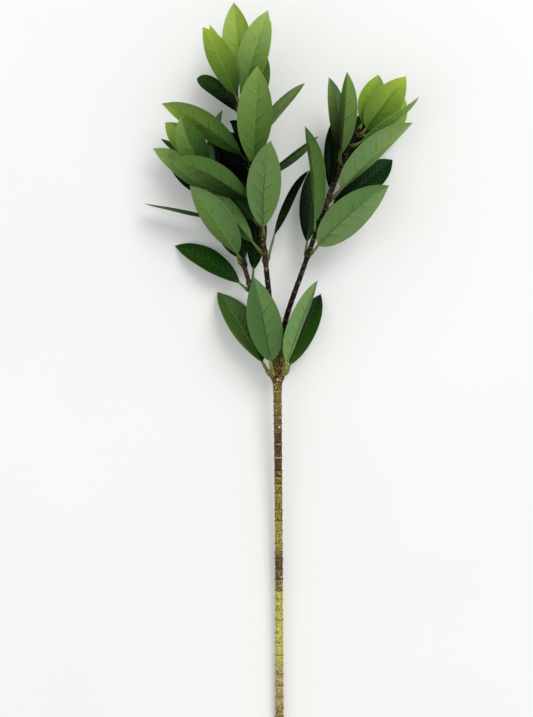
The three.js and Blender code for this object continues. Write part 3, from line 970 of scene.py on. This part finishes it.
def blade_material(name, side, veins_show):
    material, tree, shader = new_material(name)
    tints = SIDE_TINTS[side]
    looks = SIDE_LOOKS[side]
    place = place_on(tree)
    lines = add_node(tree, "Group", {
        "Place": place, **{part: kept(tree, part) for part in BLADE_PLACES},
    }, node_tree=leaf_veins).outputs
    green = add_node(tree, "Group", {
        "Place": place, "Green": kept(tree, f"{side}_green", "Color"),
        "Cool": tints["cool"], "Warm": tints["warm"],
    }, node_tree=leaf_dapple).outputs
    # The band of painted light next to each vein: lighter on the under side, darker on the upper
    share = times(lines["Painted light by veins"], looks["beside"] * veins_show)
    colour = tinted(share, green["Colour"], tints["beside"])
    # The vein lines; the darker ones of the under side are partly painted shade along the raised
    # veins
    share = times(lines["Side veins"], looks["vein"] * veins_show)
    colour = tinted(share, colour, tints["vein"])
    # Lighter upper veins fade out on the darkest greens, which are painted shade
    if side == "upper":
        own_green = add_node(tree, "SeparateColor", {0: green["Colour"]}).outputs[1]
        share = times(share, remap(own_green, 0.005, 0.016, 0, 0.34))
        colour = blend(share, colour, linear(98, 140, 70))
    colour = tinted(times(lines["Net"], 0.1), colour, tints["vein"])
    # The midrib band; its darker tint on the under side is partly painted shade along the raised
    # rib
    share = times(lines["Midrib"], looks["rib"])
    colour = tinted(share, colour, rib_tint(tree, side))
    # The rim band: partly the margin's own paler colour and partly a painted highlight on the edge
    share = times(lines["Rim"], looks["rim"])
    height = times(lines["Side veins"], looks["raised"])
    height = calculate("MULTIPLY_ADD", lines["Net"], looks["net"], height)
    height = calculate("MULTIPLY_ADD", green["Fine"], 0.2, height)
    feed(shader, {
        "Base Color": tinted(share, colour, tints["rim"]),
        "Roughness": remap(green["Fine"], 0, 1, *looks["rough"]),
        "Specular IOR Level": looks["sheen"], "Normal": bumped(height, 0.5, 0.0003),
    })
    return material


def margin_material(name):
    """The thin edge of a blade: a little paler than the side that is seen, browned in places."""
    material, tree, shader = new_material(name)
    green = tinted(1.0, kept(tree, "edge_green", "Color"), (1.25, 1.15, 1.15, 1))
    worn = remap(grainy(place_on(tree), 60), 0.52, 0.64)
    browned = blend(0.5, green, linear(110, 92, 52))
    feed(shader, {
        "Base Color": blend(worn, green, browned), "Roughness": 0.6,
        "Specular IOR Level": 0.2,
    })
    return material


def stalk_material(name):
    """Olive stalk, tan and rough where it leaves the wood, that greens into the midrib."""
    material, tree, shader = new_material(name)
    streaks = grainy(place_on(tree), 900, 3, (1, 0.3, 1))
    up_stalk = kept(tree, "up_stalk")
    up_blade = kept(tree, "up_blade")
    scar = blend(remap(streaks, 0.42, 0.58), linear(84, 70, 32), linear(168, 148, 84))
    colour = blend(remap(up_stalk, 0.20, 0.34), scar, linear(104, 114, 52))
    green = kept(tree, "under_green", "Color")
    rib = tinted(remap(up_blade, 0.95, 0.55), green, rib_tint(tree, "under"))
    pale = blend(0.55, tinted(1.0, green, (1.3, 1.2, 1.25, 1)), linear(128, 134, 60))
    colour = blend(remap(up_stalk, 0.42, 0.6), colour, pale)
    # The stalk's tone, which is painted shade on the stalks deep in the bunch
    colour = tinted(1.0, colour, kept(tree, "stalk_tone_and_shade"))
    colour = blend(remap(up_blade, 0.0, 0.10), colour, rib)
    feed(shader, {
        "Base Color": tinted(1.0, colour, remap(streaks, 0.3, 0.7, 0.88, 1.12)),
        "Roughness": 0.5, "Specular IOR Level": 0.2,
        "Normal": bumped(streaks, 0.4, 0.0002),
    })
    return material


finishes = {
    slot: [
        blade_material(f"{slot}_upper", "upper", looks["veins"]),
        blade_material(f"{slot}_under", "under", looks["veins"]),
        margin_material(f"{slot}_margin"),
        stalk_material(f"{slot}_stalk"),
    ]
    for slot, looks in LEAF_LOOKS.items()
}
slots = {part["node"]: part["material_slot"] for part in frame["record"]["subparts"]}
leaf_greens_and_light = {
    f"{group}_{number}": (greens.split() * 2)[:4]
    for group, rows in LEAF_GREENS_AND_PAINTED_LIGHT.items() for number, greens in enumerate(rows, 1)
}
crown_top = stem_at(np.array([stem_length]))[0]
all_twigs = np.vstack(list(twig_lines.values()))
leaf_nodes = [node for node in sorted(frame["nodes"]) if "_leaf_" in node]
for seed, node in enumerate(leaf_nodes, 100):
    draw = np.random.default_rng(seed).uniform
    lie = leaf_lie(node)
    slot = slots[node]
    looks = LEAF_LOOKS[slot]
    at_fork = node in FORK_ROOTS
    if at_fork:
        root = crown_top + np.array(FORK_ROOTS[node]) / 1000
    else:
        nearest = norm(all_twigs - lie.middle(np.zeros(1)), axis=1).argmin()
        root = all_twigs[max(nearest - 3, 0)]
    facing = "upper" if lie.opening > 0 else "under"
    greens = {side: [looks[side]] * 4 for side in ("under", "upper")}
    # The side that looks up takes its listed greens, painted shade and sheen included
    greens[facing] = leaf_greens_and_light[node]
    blade = leaf_blade(node, lie, facing, greens, looks["veins"], draw)
    dress(blade, finishes[slot])
    wall = blade.modifiers.new("Thickness", "SOLIDIFY")
    wall.thickness = BLADE_THICKNESS
    wall.offset = -1
    wall.material_offset = UNDER_SIDE
    wall.material_offset_rim = MARGIN
    bpy.ops.object.modifier_apply(modifier=wall.name)
    bpy.ops.object.shade_smooth()
    stalk = leaf_stalk(node, lie, root, *(FORK_SWELLING if at_fork else TWIG_SWELLING))
    up_rib = painted(stalk, "up_blade")
    paint(stalk, "under_green", blend_greens(greens["under"], 0 * up_rib + 0.5, up_rib * RIB_END))
    tone = FORK_STALK if at_fork else TWIG_STALK
    # Stalks deep in the bunch take the painted shade
    tone = SHADED_STALK if node in SHADED_STALKS else tone
    pad_tone = tone if at_fork else tone * TWIG_PAD
    stalk_tones = np.interp(painted(stalk, "up_stalk"), (0.22, 0.40), (pad_tone, tone))
    paint(stalk, "stalk_tone_and_shade", stalk_tones)
    paint(blade, "stalk_tone_and_shade", tone)
    for part in (blade, stalk):
        paint(part, "pale_rib", node in PALE_RIBS)
    dress(stalk, finishes[slot], STALK)
    join_to(blade)
    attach(blade, "root")
    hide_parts(node)

# ---- The stage -----------------------
# A plain pale surface under a wide soft light from the right, seen straight from above.

scene = bpy.context.scene
bpy.ops.mesh.primitive_plane_add(size=8, location=(0, 0, 0))
surface = bpy.context.object
surface.name = "pale_surface"
material, tree, shader = new_material("pale_surface")
cloudy = grainy(place_on(tree), 3, 2)
colour = blend(remap(cloudy, 0.3, 0.7), linear(242, 243, 241), linear(240, 241, 239))
feed(shader, {"Base Color": colour, "Roughness": 0.9})
surface.data.materials.append(material)

# The room is pale to look at, but gives only a dim light from all sides
world = bpy.data.worlds.new("soft_room")
scene.world = world
world.use_nodes = True
tree = world.node_tree
rays = add_node(tree, "LightPath").outputs
strength = blend(rays["Is Glossy Ray"], (0.68, 0.68, 0.68, 1), (0.10, 0.10, 0.10, 1))
strength = blend(rays["Is Camera Ray"], strength, (0.93, 0.93, 0.92, 1))
feed(tree.nodes["Background"].inputs, {"Color": strength})


def soft_light(name, place, size, power, colour):
    light = bpy.data.lights.new(name, "AREA")
    light.shape = "DISK"
    light.size = size
    light.energy = power
    light.color = colour
    lamp = bpy.data.objects.new(name, light)
    lamp.location = place
    lamp.rotation_euler = (Vector((0, 0.1, 0)) - Vector(place)).to_track_quat("-Z", "Y").to_euler()
    lamp.visible_camera = False
    scene.collection.objects.link(lamp)


soft_light("key_light", (2.8, 3.4, 5.0), 4.2, 220, (1.0, 0.99, 0.97))
soft_light("fill_light", (-4.4, -0.8, 4.8), 5.0, 45, (0.97, 0.99, 1.0))

camera = bpy.data.cameras.new("camera")
camera.lens = 50.2
camera.sensor_width = 36
camera_object = bpy.data.objects.new("camera", camera)
camera_object.location = (-0.01326, 0.04107, 1.07937)
scene.collection.objects.link(camera_object)
scene.camera = camera_object
scene.view_settings.view_transform = "Standard"
